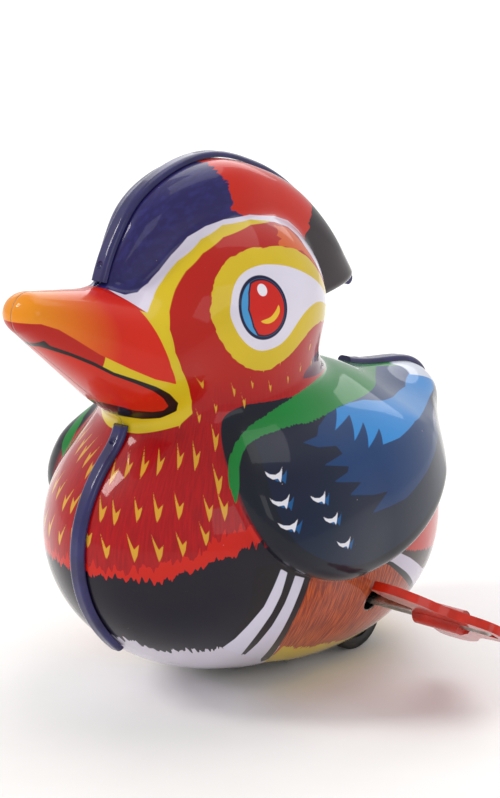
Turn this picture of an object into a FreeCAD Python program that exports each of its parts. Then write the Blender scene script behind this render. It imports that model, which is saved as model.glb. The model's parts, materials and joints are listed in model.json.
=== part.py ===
"""Wind-up tin duck: two stamped body halves joined by seam strips, with a clockwork motor in the belly.

Frame: millimetres. X is the duck's left, -Y is where the beak points, Z is up.
The floor is Z = 0 and the seam between the body halves lies in the plane X = 0.
"""
import FreeCAD, Part
import math
import os
from FreeCAD import Vector

os.makedirs("parts", exist_ok=True)

# ---------------------------------------------------------------- driving dimensions
TIN = 0.45                 # sheet thickness of the stamped body
HALF_GAP = 0.05            # each half stops this far short of the seam plane
RIBS = 86                  # stations up the body surface
STATIONS = 52              # points along each station

# body masses: centre (y, z), radii (x, y, z)
BELLY = ((0.0, 33.3), (30.5, 48.5, 32.0))
RUMP = ((12.0, 24.8), (27.0, 36.0, 24.0))
BREAST = ((-15.0, 33.8), (31.0, 31.0, 26.0))
TAIL = ((38.0, 44.3), (12.5, 20.0, 11.0))
TAIL_PITCH = 20.0
NECK = ((-12.0, 54.8), (17.0, 18.0, 20.0))
HEAD = ((-12.0, 77.8), (22.5, 24.0, 21.5))

# beak: a rounded cone from its tip to its root in the head
BEAK_TIP = (-60.3, 82.8)
BEAK_ROOT = (-35.0, 72.3)
BEAK_TIP_R = 4.2
BEAK_ROOT_R = 12.0
BEAK_WIDTH = 1.25          # how much wider than tall

# embossed wing: outline (y, z) and how far it stands out
WING = [(-27, 56.8), (-30, 48.8), (-29.5, 40.8), (-25, 33.8), (-15, 28.1), (-4, 25.8),
        (9, 27.3), (22, 31.8), (34, 37.8), (48, 44.8), (60, 54.8), (44, 64.8), (18, 68.8),
        (0, 66.8), (-16, 62.8), (-24, 60.8)]
WING_RISE = 3.6
WING_SHOULDER = 3.0

# crest: polar about a centre (y, z); angle 0 points at the beak, 90 points up
CREST_CENTRE = (-8.0, 71.8)
CREST_START = 17.0
CREST_END = 169.0
CREST_DEPTH = 13.0
CREST_POWER = 3.2
CREST_SHAPE = [(0, 35.5, 2.6), (15, 36.2, 3.6), (23, 36.8, 4.4), (37, 37.4, 6.2), (48, 37.8, 7.6),
               (62, 37.0, 9.0), (82, 35.4, 10.0), (104, 33.0, 9.7), (133, 32.4, 9.0),
               (157, 34.4, 8.3), (170, 37.0, 7.6), (180, 38.0, 7.4)]   # angle, radius, half width

# seam strips
STRIP_HALF_WIDTH = 1.8
STRIP_RISE = 1.35
STRIP_LIFT = 0.18

# belly opening and base plate
OPENING_HALF_X = 14.5
OPENING_Y = (-14.0, 31.0)
BASE_LAP = 1.8
BASE_THICK = 0.5

# motor frame
FRAME_IN = 8.0             # inner face of each frame plate
FRAME_THICK = 0.8
FRAME_Y = (-1.5, 31.0)
FRAME_TOP = 33.0
RUN_GAP = 0.05             # running clearance of every pivot
PIVOT_R = 0.8
ARBOR_R = 1.3

# gear train
PRESSURE = math.radians(25.0)
BACKLASH = 0.10
GREAT_MODULE = 0.6
GREAT_TEETH = 36
FIRST_PINION_TEETH = 10
WHEEL_MODULE = 0.5
WHEEL_TEETH = 30
LAST_PINION_TEETH = 10
CENTRE_SLACK = 0.04

KEY_AXIS = (7.0, 17.8)     # winding arbor (y, z)
DRIVE_AXIS = (20.0, 8.0)   # drive axle (y, z); its height is the tyre radius
GOVERNOR_TURN = 107.0      # direction from second arbor to governor arbor, degrees above +Y

SHAFT_R = 1.2
SHAFT_END = 57.0
KEY_HOLE_R = 2.75
KEY_THICK = 1.8
KEY_TILT = 33.0            # plane of the key above the horizontal, degrees

TYRE_R = 8.0
WHEEL_R = 6.6
WHEEL_X = (10.0, 13.0)
AXLE_R = 1.1
FRONT_AXIS = (-6.0, 5.0)
FRONT_R = 5.0


# ---------------------------------------------------------------- the body's form
def soft_min(a, b, k):
    """Smallest of two distances, rounded over a width k where they meet."""
    h = min(max(0.5 + 0.5 * (b - a) / k, 0.0), 1.0)
    return b + (a - b) * h - k * h * (1.0 - h)


def soft_max(a, b, k):
    return -soft_min(-a, -b, k)


def smooth(t):
    t = min(max(t, 0.0), 1.0)
    return t * t * (3.0 - 2.0 * t)


def ellipsoid(x, y, z, mass, pitch=0.0):
    """Approximate distance outside an ellipsoid centred on the seam plane."""
    (cy, cz), (rx, ry, rz) = mass
    y -= cy
    z -= cz
    if pitch:
        s = math.sin(math.radians(pitch))
        c = math.cos(math.radians(pitch))
        y, z = c * y + s * z, c * z - s * y
    k0 = math.sqrt((x / rx) ** 2 + (y / ry) ** 2 + (z / rz) ** 2)
    k1 = math.sqrt((x / rx ** 2) ** 2 + (y / ry ** 2) ** 2 + (z / rz ** 2) ** 2) + 1e-9
    return k0 * (k0 - 1.0) / k1


def beak_distance(x, y, z):
    """Distance outside a rounded cone along the beak's axis."""
    x /= BEAK_WIDTH
    ay, az = BEAK_ROOT[0] - BEAK_TIP[0], BEAK_ROOT[1] - BEAK_TIP[1]
    length2 = ay * ay + az * az
    dr = BEAK_TIP_R - BEAK_ROOT_R
    slant2 = length2 - dr * dr
    py, pz = y - BEAK_TIP[0], z - BEAK_TIP[1]
    along = py * ay + pz * az
    past = along - length2
    vx, vy, vz = x * length2, py * length2 - along * ay, pz * length2 - along * az
    off2 = vx * vx + vy * vy + vz * vz
    limit = -dr * dr * off2
    if math.copysign(1.0, past) * slant2 * past * past * length2 > limit and past > 0:
        return math.sqrt(off2 + past * past * length2) / length2 - BEAK_ROOT_R
    if along < 0 and -slant2 * along * along * length2 < limit:
        return math.sqrt(off2 + along * along * length2) / length2 - BEAK_TIP_R
    return (math.sqrt(off2 * slant2 / length2) + along * dr) / length2 - BEAK_TIP_R


def body_distance(x, y, z):
    d = ellipsoid(x, y, z, BELLY)
    d = soft_min(d, ellipsoid(x, y, z, RUMP), 6.0)
    d = soft_min(d, ellipsoid(x, y, z, BREAST), 5.0)
    d = soft_min(d, ellipsoid(x, y, z, TAIL, TAIL_PITCH), 10.0)
    return soft_min(d, ellipsoid(x, y, z, NECK), 12.0)


def round_outline(points, per=6):
    """Closed smooth outline through a few points."""
    out = []
    n = len(points)
    for i in range(n):
        a, b, c, d = points[i - 1], points[i], points[(i + 1) % n], points[(i + 2) % n]
        for j in range(per):
            t = j / per
            out.append(tuple(0.5 * (2 * b[k] + (c[k] - a[k]) * t
                                    + (2 * a[k] - 5 * b[k] + 4 * c[k] - d[k]) * t ** 2
                                    + (3 * b[k] - a[k] - 3 * c[k] + d[k]) * t ** 3) for k in (0, 1)))
    return out


WING_OUTLINE = round_outline(WING)


def outline_distance(y, z, outline):
    """Signed distance to a closed outline, negative inside."""
    best = 1e18
    inside = False
    ay, az = outline[-1]
    for by, bz in outline:
        ey, ez = by - ay, bz - az
        wy, wz = y - ay, z - az
        t = min(max((wy * ey + wz * ez) / (ey * ey + ez * ez), 0.0), 1.0)
        best = min(best, (wy - t * ey) ** 2 + (wz - t * ez) ** 2)
        if (az > z) != (bz > z) and y < ey * wz / ez + ay:
            inside = not inside
        ay, az = by, bz
    return -math.sqrt(best) if inside else math.sqrt(best)


def wing_relief(y, z):
    """Rise of the embossed wing and the distance outside its edge, seen from the side."""
    edge = outline_distance(y, z, WING_OUTLINE)
    depth = -body_distance(0.0, y, z)
    rise = WING_RISE * smooth(depth / 9.0) * smooth((61.8 - z) / 13.0) * smooth((53.0 - y) / 22.0)
    return rise, edge


def duck_distance(x, y, z, relief):
    """Distance outside the body, head and beak, with the wing raised on the flank."""
    d = soft_min(body_distance(x, y, z), ellipsoid(x, y, z, HEAD), 9.0)
    d = soft_min(d, beak_distance(x, y, z), 7.0)
    rise, edge = relief
    if rise > 0.01 and edge < 6.0:
        d = soft_min(d, soft_max(d - rise, edge, WING_SHOULDER), 0.8)
    return d


NO_RELIEF = (0.0, 99.0)


def profile_distance(y, z, level):
    return duck_distance(0.0, y, z, NO_RELIEF) - level


# ---------------------------------------------------------------- the seam profile
def profile_point(y, z, level):
    """Nearest point of the side profile, and its outward normal."""
    e = 0.05
    for _ in range(4):
        d = profile_distance(y, z, level)
        gy = (profile_distance(y + e, z, level) - profile_distance(y - e, z, level)) / (2 * e)
        gz = (profile_distance(y, z + e, level) - profile_distance(y, z - e, level)) / (2 * e)
        g = gy * gy + gz * gz + 1e-12
        y -= d * gy / g
        z -= d * gz / g
    n = math.sqrt(g)
    return y, z, gy / n, gz / n


def trace_profile(level, side):
    """Profile from under the belly to the crown: side -1 by the breast and beak, +1 by the tail."""
    step = 0.6
    y, z, ny, nz = profile_point(-2.0, 0.5, level)
    points = [(y, z, ny, nz)]
    for _ in range(900):
        ty, tz = -nz * side, ny * side
        y, z, ny, nz = profile_point(y + ty * step, z + tz * step, level)
        points.append((y, z, ny, nz))
        if z > 90.0 and (y + 12.0) * side < 0.3:
            break
    return points


def at_fraction(points, s):
    """Point a fraction s of the way along a traced profile."""
    f = s * (len(points) - 1)
    i = min(int(f), len(points) - 2)
    t = f - i
    return tuple(points[i][k] + (points[i + 1][k] - points[i][k]) * t for k in range(4))


def hermite(table, t, column):
    """Smooth value of a table's column at t."""
    n = len(table)
    i = 0
    while i < n - 2 and t > table[i + 1][0]:
        i += 1

    def slope(j):
        a, b = table[max(j - 1, 0)], table[min(j + 1, n - 1)]
        return (b[column] - a[column]) / (b[0] - a[0])

    h = table[i + 1][0] - table[i][0]
    u = (t - table[i][0]) / h
    return ((2 * u ** 3 - 3 * u ** 2 + 1) * table[i][column] + (u ** 3 - 2 * u ** 2 + u) * h * slope(i)
            + (3 * u ** 2 - 2 * u ** 3) * table[i + 1][column] + (u ** 3 - u ** 2) * h * slope(i + 1))


# where each station's middle is pulled to (fraction up the profile, y, z)
PULL = [(0.0, -2, 4), (0.2, 0, 21), (0.41, 0, 42), (0.52, 0, 46), (0.6, 0, 48), (0.65, -4, 52),
        (0.72, -18, 64), (0.8, -18, 75), (0.9, -14, 85), (1.0, -12, 97)]


def flank_x(y, z, level):
    """Half width of the body at a point of the side view."""
    relief = wing_relief(y, z)
    low, high = 0.0, 44.0
    for _ in range(24):
        mid = 0.5 * (low + high)
        if duck_distance(mid, y, z, relief) < level:
            low = mid
        else:
            high = mid
    return low


def body_grid(level, seam_x):
    """Rows of points from the front seam to the back seam, bottom to top."""
    front = trace_profile(level, -1)
    back = trace_profile(level, 1)
    rows = []
    for i in range(RIBS):
        s = 0.5 - 0.5 * math.cos(math.pi * i / (RIBS - 1))
        s = 0.45 * s + 0.55 * i / (RIBS - 1)
        s = 0.012 + 0.976 * s
        fy, fz = at_fraction(front, s)[:2]
        by, bz = at_fraction(back, s)[:2]
        my, mz = hermite(PULL, s, 1), hermite(PULL, s, 2)
        row = [Vector(seam_x, fy, fz)]
        for j in range(1, STATIONS - 1):
            t = 0.5 - 0.5 * math.cos(math.pi * j / (STATIONS - 1))
            y = (1 - t) ** 2 * fy + 2 * t * (1 - t) * my + t * t * by
            z = (1 - t) ** 2 * fz + 2 * t * (1 - t) * mz + t * t * bz
            x = flank_x(y, z, level)
            row.append(Vector(max(x, HALF_GAP + 0.01) if 0 < i < RIBS - 1 else seam_x, y, z))
        row.append(Vector(seam_x, by, bz))
        if seam_x < 0:
            at_seam = 0.0 if 0 < i < RIBS - 1 else seam_x
            row.insert(1, Vector(at_seam, fy, fz))
            row.insert(-1, Vector(at_seam, by, bz))
        rows.append(row)
    return rows


def smooth_face(rows):
    """One cubic surface over a grid of control points."""
    nu, nv = len(rows), len(rows[0])
    surface = Part.BSplineSurface()
    mu = [4] + [1] * (nu - 4) + [4]
    mv = [4] + [1] * (nv - 4) + [4]
    ku = [float(i) for i in range(len(mu))]
    kv = [float(i) for i in range(len(mv))]
    surface.buildFromPolesMultsKnots(rows, mu, mv, ku, kv, False, False, 3, 3)
    return surface.toShape()


def closed_solid(faces):
    shell = Part.makeShell(faces)
    solid = Part.makeSolid(shell)
    if solid.Volume < 0:
        solid.reverse()
    return solid


def body_half(level, seam_x):
    """Left half of the body, head and beak as a solid, shrunk inwards by -level."""
    face = smooth_face(body_grid(level, seam_x))
    cap = Part.Face(Part.Wire(Part.__sortEdges__(face.Edges)))
    return closed_solid([face, cap])


def crest_point(angle, radius, x=0.0):
    a = math.radians(angle)
    return Vector(x, CREST_CENTRE[0] - radius * math.cos(a), CREST_CENTRE[1] + radius * math.sin(a))


def crest_section(angle, inset, seam_x):
    """Half section of the crest at one angle: a rounded top and a straight side into the head."""
    radius = hermite(CREST_SHAPE, angle, 1) - inset
    half = hermite(CREST_SHAPE, angle, 2) - inset
    points = []
    for k in range(9):
        a = math.radians(90.0 - 90.0 * k / 8)
        x = half * math.cos(a) ** (2 / CREST_POWER)
        r = radius - CREST_DEPTH + CREST_DEPTH * math.sin(a) ** (2 / CREST_POWER)
        points.append(crest_point(angle, r, seam_x if k == 0 else max(x, seam_x + 0.1)))
    top = Part.BSplineCurve()
    top.interpolate(points)
    foot = radius - CREST_DEPTH - 7.0 + inset
    side = [points[-1], crest_point(angle, foot, half), crest_point(angle, foot, seam_x), points[0]]
    edges = [top.toShape()]
    edges += [Part.makeLine(side[i], side[i + 1]) for i in range(3)]
    return Part.Wire(edges)


def crest_half(inset, seam_x):
    n = 13
    first, last = CREST_START + 1.5 * inset, CREST_END - 1.5 * inset
    wires = [crest_section(first + (last - first) * i / (n - 1), inset, seam_x) for i in range(n)]
    return Part.makeLoft(wires, True, False)


def rounded_box(x0, x1, y0, y1, z0, z1, r):
    box = Part.makeBox(x1 - x0, y1 - y0, z1 - z0, Vector(x0, y0, z0))
    uprights = [e for e in box.Edges if abs(e.Vertexes[0].Z - e.Vertexes[1].Z) > 0.5 * (z1 - z0)]
    return box.makeFillet(r, uprights)


def rod(x0, x1, r, axis):
    return Part.makeCylinder(r, x1 - x0, Vector(x0, axis[0], axis[1]), Vector(1, 0, 0))


def mirror(shape):
    return shape.mirror(Vector(0, 0, 0), Vector(1, 0, 0))


def belly_opening():
    return rounded_box(-OPENING_HALF_X, OPENING_HALF_X, OPENING_Y[0], OPENING_Y[1], -2.0, 11.0, 6.0)


def body_shell():
    """One stamped half: body, head, beak, wing and half of the crest in a single sheet."""
    outer = body_half(0.0, HALF_GAP).fuse(crest_half(0.0, HALF_GAP))
    inner = body_half(-TIN, -1.0).fuse(crest_half(TIN, -1.0))
    return outer.cut(inner).cut(belly_opening())


def body_shell_left(shell):
    return shell.cut(rod(20.0, 40.0, KEY_HOLE_R, KEY_AXIS))


# ---------------------------------------------------------------- seam strips
def strip(points, dimple_at):
    """Half-round strip over the seam, from a list of (y, z, normal y, normal z)."""
    low = [Vector(0, p[0] + p[2] * STRIP_LIFT, p[1] + p[3] * STRIP_LIFT) for p in points]
    high = [Vector(0, p[0] + p[2] * STRIP_RISE, p[1] + p[3] * STRIP_RISE) for p in points]
    inner = Part.BSplineCurve()
    inner.interpolate(low)
    outer = Part.BSplineCurve()
    outer.interpolate(high)
    edges = [inner.toShape(), Part.makeLine(low[-1], high[-1]), outer.toShape(), Part.makeLine(high[0], low[0])]
    face = Part.Face(Part.Wire(Part.__sortEdges__(edges)))
    face.translate(Vector(-STRIP_HALF_WIDTH, 0, 0))
    body = face.extrude(Vector(2 * STRIP_HALF_WIDTH, 0, 0))
    middle = high[len(high) // 2]
    crowns = [e for e in body.Edges
              if e.Length > 10 and min(v.Point.distanceToPoint(high[0]) for v in e.Vertexes) < 2.0
              and e.distToShape(Part.Vertex(middle))[0] < STRIP_HALF_WIDTH + 0.1]
    body = body.makeFillet(1.1, crowns)
    p = points[dimple_at]
    spot = Part.makeSphere(0.9, Vector(0, p[0] + p[2] * (STRIP_RISE + 0.45), p[1] + p[3] * (STRIP_RISE + 0.45)))
    return body.cut(spot)


def crest_seam_strip():
    points = []
    first, last, n = CREST_START + 6.0, CREST_END + 1.0, 33
    for i in range(n):
        angle = first + (last - first) * i / (n - 1)
        here = crest_point(angle, hermite(CREST_SHAPE, angle, 1))
        ahead = crest_point(angle + 0.5, hermite(CREST_SHAPE, angle + 0.5, 1))
        t = ahead.sub(here).normalize()
        points.append((here.y, here.z, -t.z, t.y))
    body = strip(points, 1)
    end = points[-1]
    curl = Part.makeCylinder(1.3, 2 * STRIP_HALF_WIDTH - 0.4,
                             Vector(-STRIP_HALF_WIDTH + 0.2, end[0] + 0.9, end[1] - 0.7), Vector(1, 0, 0))
    return body.fuse(curl)


def profile_strip(side, s0, s1, n, dimple_at):
    path = trace_profile(0.0, side)
    return strip([at_fraction(path, s0 + (s1 - s0) * i / (n - 1)) for i in range(n)], dimple_at)


def fraction_at(side, y, z):
    """Fraction along the traced profile nearest a point."""
    path = trace_profile(0.0, side)
    best = min(range(len(path)), key=lambda i: (path[i][0] - y) ** 2 + (path[i][1] - z) ** 2)
    return best / (len(path) - 1)


def chest_seam_strip():
    return profile_strip(-1, fraction_at(-1, -38.2, 14.3), fraction_at(-1, -38.0, 57.5), 13, 11)


def tail_seam_strip():
    return profile_strip(1, fraction_at(1, 50.0, 26.0), fraction_at(1, 29.0, 55.8), 17, 15)


# ---------------------------------------------------------------- base plate and motor frame
def base_layer(level):
    """Everything inside the body's inner wall near the belly, on both sides of the seam."""
    half = body_half(level, -1.0).common(Part.makeBox(22, 64, 40, Vector(-1, -24, 0)))
    return half.fuse(mirror(half)).removeSplitter()


def base_plate(under, over):
    lap = BASE_LAP
    patch = rounded_box(-OPENING_HALF_X - lap, OPENING_HALF_X + lap, OPENING_Y[0] - lap, OPENING_Y[1] + lap,
                        -2.0, 12.0, 6.0 + lap)
    plate = under.cut(over).common(patch)
    for side in (-1, 1):
        x0 = WHEEL_X[0] - 0.7 if side > 0 else -WHEEL_X[1] - 0.7
        plate = plate.cut(Part.makeBox(4.4, 17.0, 20, Vector(x0, DRIVE_AXIS[0] - 8.5, -2)))
    plate = plate.cut(Part.makeBox(5.2, 10.8, 20, Vector(-2.6, FRONT_AXIS[0] - 5.4, -2)))
    for tab in frame_tabs(0.1):
        plate = plate.cut(tab)
    return plate


def frame_tabs(extra):
    """Tongues of the frame plates that pass through the base plate."""
    tabs = []
    for side in (-1, 1):
        for y in (FRAME_Y[0] + 3.0, FRAME_Y[1] - 7.5):
            x0 = FRAME_IN if side > 0 else -FRAME_IN - FRAME_THICK
            corner = Vector(x0 - extra, y - extra, 0.9 if not extra else -2.0)
            tabs.append(Part.makeBox(FRAME_THICK + 2 * extra, 4 + 2 * extra, 6.0 if not extra else 20, corner))
    return tabs


def centre_b():
    """Second arbor, from its distances to the winding arbor and the drive axle."""
    da = GREAT_MODULE * (GREAT_TEETH + FIRST_PINION_TEETH) / 2 + CENTRE_SLACK
    dc = WHEEL_MODULE * (WHEEL_TEETH + LAST_PINION_TEETH) / 2 + CENTRE_SLACK
    ey, ez = DRIVE_AXIS[0] - KEY_AXIS[0], DRIVE_AXIS[1] - KEY_AXIS[1]
    span = math.hypot(ey, ez)
    ey, ez = ey / span, ez / span
    along = (da * da - dc * dc + span * span) / (2 * span)
    off = math.sqrt(da * da - along * along)
    return (KEY_AXIS[0] + along * ey - off * ez, KEY_AXIS[1] + along * ez + off * ey)


SECOND_AXIS = centre_b()
LAST_REACH = WHEEL_MODULE * (WHEEL_TEETH + LAST_PINION_TEETH) / 2 + CENTRE_SLACK
GOVERNOR_AXIS = (SECOND_AXIS[0] + LAST_REACH * math.cos(math.radians(GOVERNOR_TURN)),
                 SECOND_AXIS[1] + LAST_REACH * math.sin(math.radians(GOVERNOR_TURN)))
PILLARS = [(FRAME_Y[0] + 2.6, 31.0), (FRAME_Y[1] - 2.6, 30.0), (FRAME_Y[0] + 2.1, 6.6), (FRAME_Y[1] - 1.9, 12.0)]


def motor_plate(side, over):
    x0 = FRAME_IN if side > 0 else -FRAME_IN - FRAME_THICK
    plate = rounded_box(0, FRAME_Y[1] - FRAME_Y[0], 0, FRAME_TOP, 0, FRAME_THICK, 3.0)
    plate.rotate(Vector(0, 0, 0), Vector(0, 1, 0), -90)
    plate.rotate(Vector(0, 0, 0), Vector(1, 0, 0), 90)
    box = plate.BoundBox
    plate.translate(Vector(x0 - box.XMin, FRAME_Y[0] - box.YMin, -box.ZMin))
    foot = Part.makeBox(FRAME_THICK, FRAME_Y[1] - FRAME_Y[0], 12, Vector(x0, FRAME_Y[0], 0))
    plate = plate.fuse(foot).common(over)
    for tab in frame_tabs(0.0):
        if tab.BoundBox.XMin * side > 0 or tab.BoundBox.XMax * side > 0:
            plate = plate.fuse(tab)
    key_r = SHAFT_R if side > 0 else PIVOT_R
    for axis, r in ((KEY_AXIS, key_r), (SECOND_AXIS, PIVOT_R), (GOVERNOR_AXIS, PIVOT_R), (DRIVE_AXIS, AXLE_R)):
        plate = plate.cut(rod(x0 - 1, x0 + 2, r + RUN_GAP, axis))
    for axis in PILLARS:
        plate = plate.cut(rod(x0 - 1, x0 + 2, PIVOT_R, axis))
    window = rounded_box(-3.2, 3.2, -2.4, 2.4, -1, 1, 1.5)
    window.rotate(Vector(0, 0, 0), Vector(0, 1, 0), 90)
    window.translate(Vector(x0 + FRAME_THICK / 2, KEY_AXIS[0] + 2.0, KEY_AXIS[1] + 9.5))
    return plate.cut(window).removeSplitter()


def motor_pillars():
    posts = []
    for axis in PILLARS:
        post = rod(-FRAME_IN, FRAME_IN, 1.3, axis)
        post = post.fuse(rod(-FRAME_IN - FRAME_THICK - 0.5, FRAME_IN + FRAME_THICK + 0.5, PIVOT_R, axis))
        for x in (-FRAME_IN - FRAME_THICK - 0.5, FRAME_IN + FRAME_THICK):
            post = post.fuse(rod(x, x + 0.5, 1.2, axis))
        posts.append(post.removeSplitter())
    return Part.makeCompound(posts)


# ---------------------------------------------------------------- gears
def gear(module, teeth, x0, x1, axis, bore, tooth_at):
    """Involute spur gear about an axis along X; tooth_at is the angle of one tooth from +Y."""
    pitch_r = module * teeth / 2
    base_r = pitch_r * math.cos(PRESSURE)
    tip_r = pitch_r + 0.8 * module
    root_r = pitch_r - 1.05 * module
    half = math.pi / (2 * teeth) - BACKLASH / (4 * pitch_r) + math.tan(PRESSURE) - PRESSURE
    flank = []
    for k in range(4):
        r = max(base_r, root_r + 0.05) + (tip_r - max(base_r, root_r + 0.05)) * k / 3
        a = math.acos(min(base_r / r, 1.0))
        flank.append((r, half - (math.tan(a) - a)))
    root_half = min(flank[0][1] * 1.05, math.pi / teeth * 0.8)
    points = []
    for i in range(teeth):
        middle = math.radians(tooth_at) + 2 * math.pi * i / teeth
        profile = [(root_r, -root_half)] + [(r, -a) for r, a in flank]
        profile += [(r, a) for r, a in reversed(flank)] + [(root_r, root_half)]
        for r, a in profile:
            points.append(Vector(x0, axis[0] + r * math.cos(middle + a), axis[1] + r * math.sin(middle + a)))
    blank = Part.Face(Part.makePolygon(points + [points[0]])).extrude(Vector(x1 - x0, 0, 0))
    return blank.cut(rod(x0 - 1, x1 + 1, bore, axis))


def direction(a, b):
    return math.degrees(math.atan2(b[1] - a[1], b[0] - a[0]))


def mate_angle(tooth_at, teeth, own_axis, mate_axis, mate_teeth):
    """Angle of a tooth on the mating gear so that the teeth interleave."""
    toward = direction(own_axis, mate_axis)
    pitch = 360.0 / teeth
    ahead = ((toward - tooth_at) % pitch) / pitch
    return toward + 180.0 + (ahead + 0.5) * 360.0 / mate_teeth


GREAT_TOOTH = direction(KEY_AXIS, SECOND_AXIS)
WHEEL_TOOTH = direction(SECOND_AXIS, DRIVE_AXIS)


def great_wheel():
    wheel = gear(GREAT_MODULE, GREAT_TEETH, 2.0, 3.0, KEY_AXIS, ARBOR_R + 0.3, GREAT_TOOTH)
    for k in range(4):
        a = math.radians(45 + 90 * k + 20)
        spot = (KEY_AXIS[0] + 6.6 * math.cos(a), KEY_AXIS[1] + 6.6 * math.sin(a))
        wheel = wheel.cut(rod(1, 4, 1.7, spot))
    return wheel


def second_pinion():
    angle = mate_angle(GREAT_TOOTH, GREAT_TEETH, KEY_AXIS, SECOND_AXIS, FIRST_PINION_TEETH)
    return gear(GREAT_MODULE, FIRST_PINION_TEETH, 1.4, 3.6, SECOND_AXIS, PIVOT_R, angle)


def second_wheel():
    wheel = gear(WHEEL_MODULE, WHEEL_TEETH, 4.4, 5.2, SECOND_AXIS, PIVOT_R, WHEEL_TOOTH)
    for k in range(3):
        a = math.radians(120 * k + 30)
        spot = (SECOND_AXIS[0] + 4.2 * math.cos(a), SECOND_AXIS[1] + 4.2 * math.sin(a))
        wheel = wheel.cut(rod(3, 6, 1.5, spot))
    return wheel


def last_pinion(axis):
    angle = mate_angle(WHEEL_TOOTH, WHEEL_TEETH, SECOND_AXIS, axis, LAST_PINION_TEETH)
    bore = AXLE_R if axis == DRIVE_AXIS else PIVOT_R
    return gear(WHEEL_MODULE, LAST_PINION_TEETH, 4.0, 5.6, axis, bore, angle)


def arbor(axis):
    """Plain train arbor with its shoulders just inside the frame."""
    pin = rod(-FRAME_IN - FRAME_THICK - 0.5, FRAME_IN + FRAME_THICK + 0.5, PIVOT_R, axis)
    return pin.fuse(rod(-FRAME_IN + 0.3, -FRAME_IN + 0.9, 1.3, axis)).fuse(
        rod(FRAME_IN - 0.9, FRAME_IN - 0.3, 1.3, axis)).removeSplitter()


def governor_flywheel():
    disc = rod(-4.5, -2.0, 4.4, GOVERNOR_AXIS)
    disc = disc.cut(rod(-5, -3.9, 3.4, GOVERNOR_AXIS)).fuse(rod(-4.8, -3.5, 1.6, GOVERNOR_AXIS))
    return disc.cut(rod(-6, 0, PIVOT_R, GOVERNOR_AXIS)).removeSplitter()


def ratchet_wheel():
    points = []
    for k in range(12):
        a = 2 * math.pi * k / 12
        b = a + 2 * math.pi / 12 * 0.97
        points.append(Vector(0.2, KEY_AXIS[0] + 4.4 * math.cos(a), KEY_AXIS[1] + 4.4 * math.sin(a)))
        points.append(Vector(0.2, KEY_AXIS[0] + 3.4 * math.cos(b), KEY_AXIS[1] + 3.4 * math.sin(b)))
    blank = Part.Face(Part.makePolygon(points + [points[0]])).extrude(Vector(1.2, 0, 0))
    return blank.cut(rod(0, 2, ARBOR_R + 0.3, KEY_AXIS))


CLICK_PIVOT = (KEY_AXIS[0] + 3.2, KEY_AXIS[1] - 7.0)


def click():
    """Pawl on the great wheel that drops behind the ratchet teeth."""
    boss = rod(0.4, 1.4, 1.5, CLICK_PIVOT)
    tip = (KEY_AXIS[0] - 1.1, KEY_AXIS[1] - 4.75)
    a = Vector(0.4, CLICK_PIVOT[0] - 0.2, CLICK_PIVOT[1] + 1.35)
    b = Vector(0.4, tip[0], tip[1])
    c = Vector(0.4, tip[0] - 0.3, tip[1] - 1.0)
    d = Vector(0.4, CLICK_PIVOT[0] - 0.2, CLICK_PIVOT[1] - 1.35)
    arm = Part.Face(Part.makePolygon([a, b, c, d, a])).extrude(Vector(1.0, 0, 0))
    return boss.fuse(arm).cut(rod(0, 2, 0.7, CLICK_PIVOT)).removeSplitter()


def click_rivet():
    rivet = rod(0.0, 2.0, 0.65, CLICK_PIVOT).fuse(rod(-0.1, 0.35, 1.2, CLICK_PIVOT))
    return rivet.removeSplitter()


def winding_shaft():
    """Key shaft and spring arbor in one: pivot, thick middle and the long outer end."""
    rod_all = rod(-FRAME_IN - FRAME_THICK - 0.5, -FRAME_IN + 0.3, PIVOT_R, KEY_AXIS)
    rod_all = rod_all.fuse(rod(-FRAME_IN + 0.3, FRAME_IN - 0.3, ARBOR_R + 0.3, KEY_AXIS))
    outer = rod(FRAME_IN - 0.3, SHAFT_END, SHAFT_R, KEY_AXIS)
    rim = [e for e in outer.Edges if e.Length < 10 and abs(e.CenterOfMass.x - SHAFT_END) < 0.1]
    return rod_all.fuse(outer.makeFillet(0.7, rim)).removeSplitter()


def winding_key():
    """Flat two-winged key whose plane holds the shaft; its outer end is a loop round the shaft's end."""
    half = [(39.5, 2.6), (41.0, 5.6), (37.6, 8.6), (36.4, 12.2), (37.4, 14.6), (42.5, 14.4),
            (47.0, 11.4), (51.0, 6.6), (57.0, 4.6), (59.6, 2.2)]
    ring = round_outline(half + [(a, -w) for a, w in reversed(half)], 4)
    points = [Vector(a, w, -KEY_THICK / 2) for a, w in ring]
    curve = Part.BSplineCurve()
    curve.interpolate(points, PeriodicFlag=True)
    plate = Part.Face(Part.Wire(curve.toShape())).extrude(Vector(0, 0, KEY_THICK))
    sleeve = Part.makeCylinder(2.5, 11.4, Vector(39.2, 0, 0), Vector(1, 0, 0))
    window = rounded_box(50.0, 58.0, -2.0, 2.0, -4, 4, 0.8)
    plate = plate.fuse(sleeve).cut(window)
    plate = plate.cut(Part.makeCylinder(SHAFT_R, 22, Vector(30, 0, 0), Vector(1, 0, 0)))
    plate.rotate(Vector(0, 0, 0), Vector(1, 0, 0), 180.0 - KEY_TILT)
    plate.translate(Vector(0, KEY_AXIS[0], KEY_AXIS[1]))
    return plate.removeSplitter()


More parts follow.
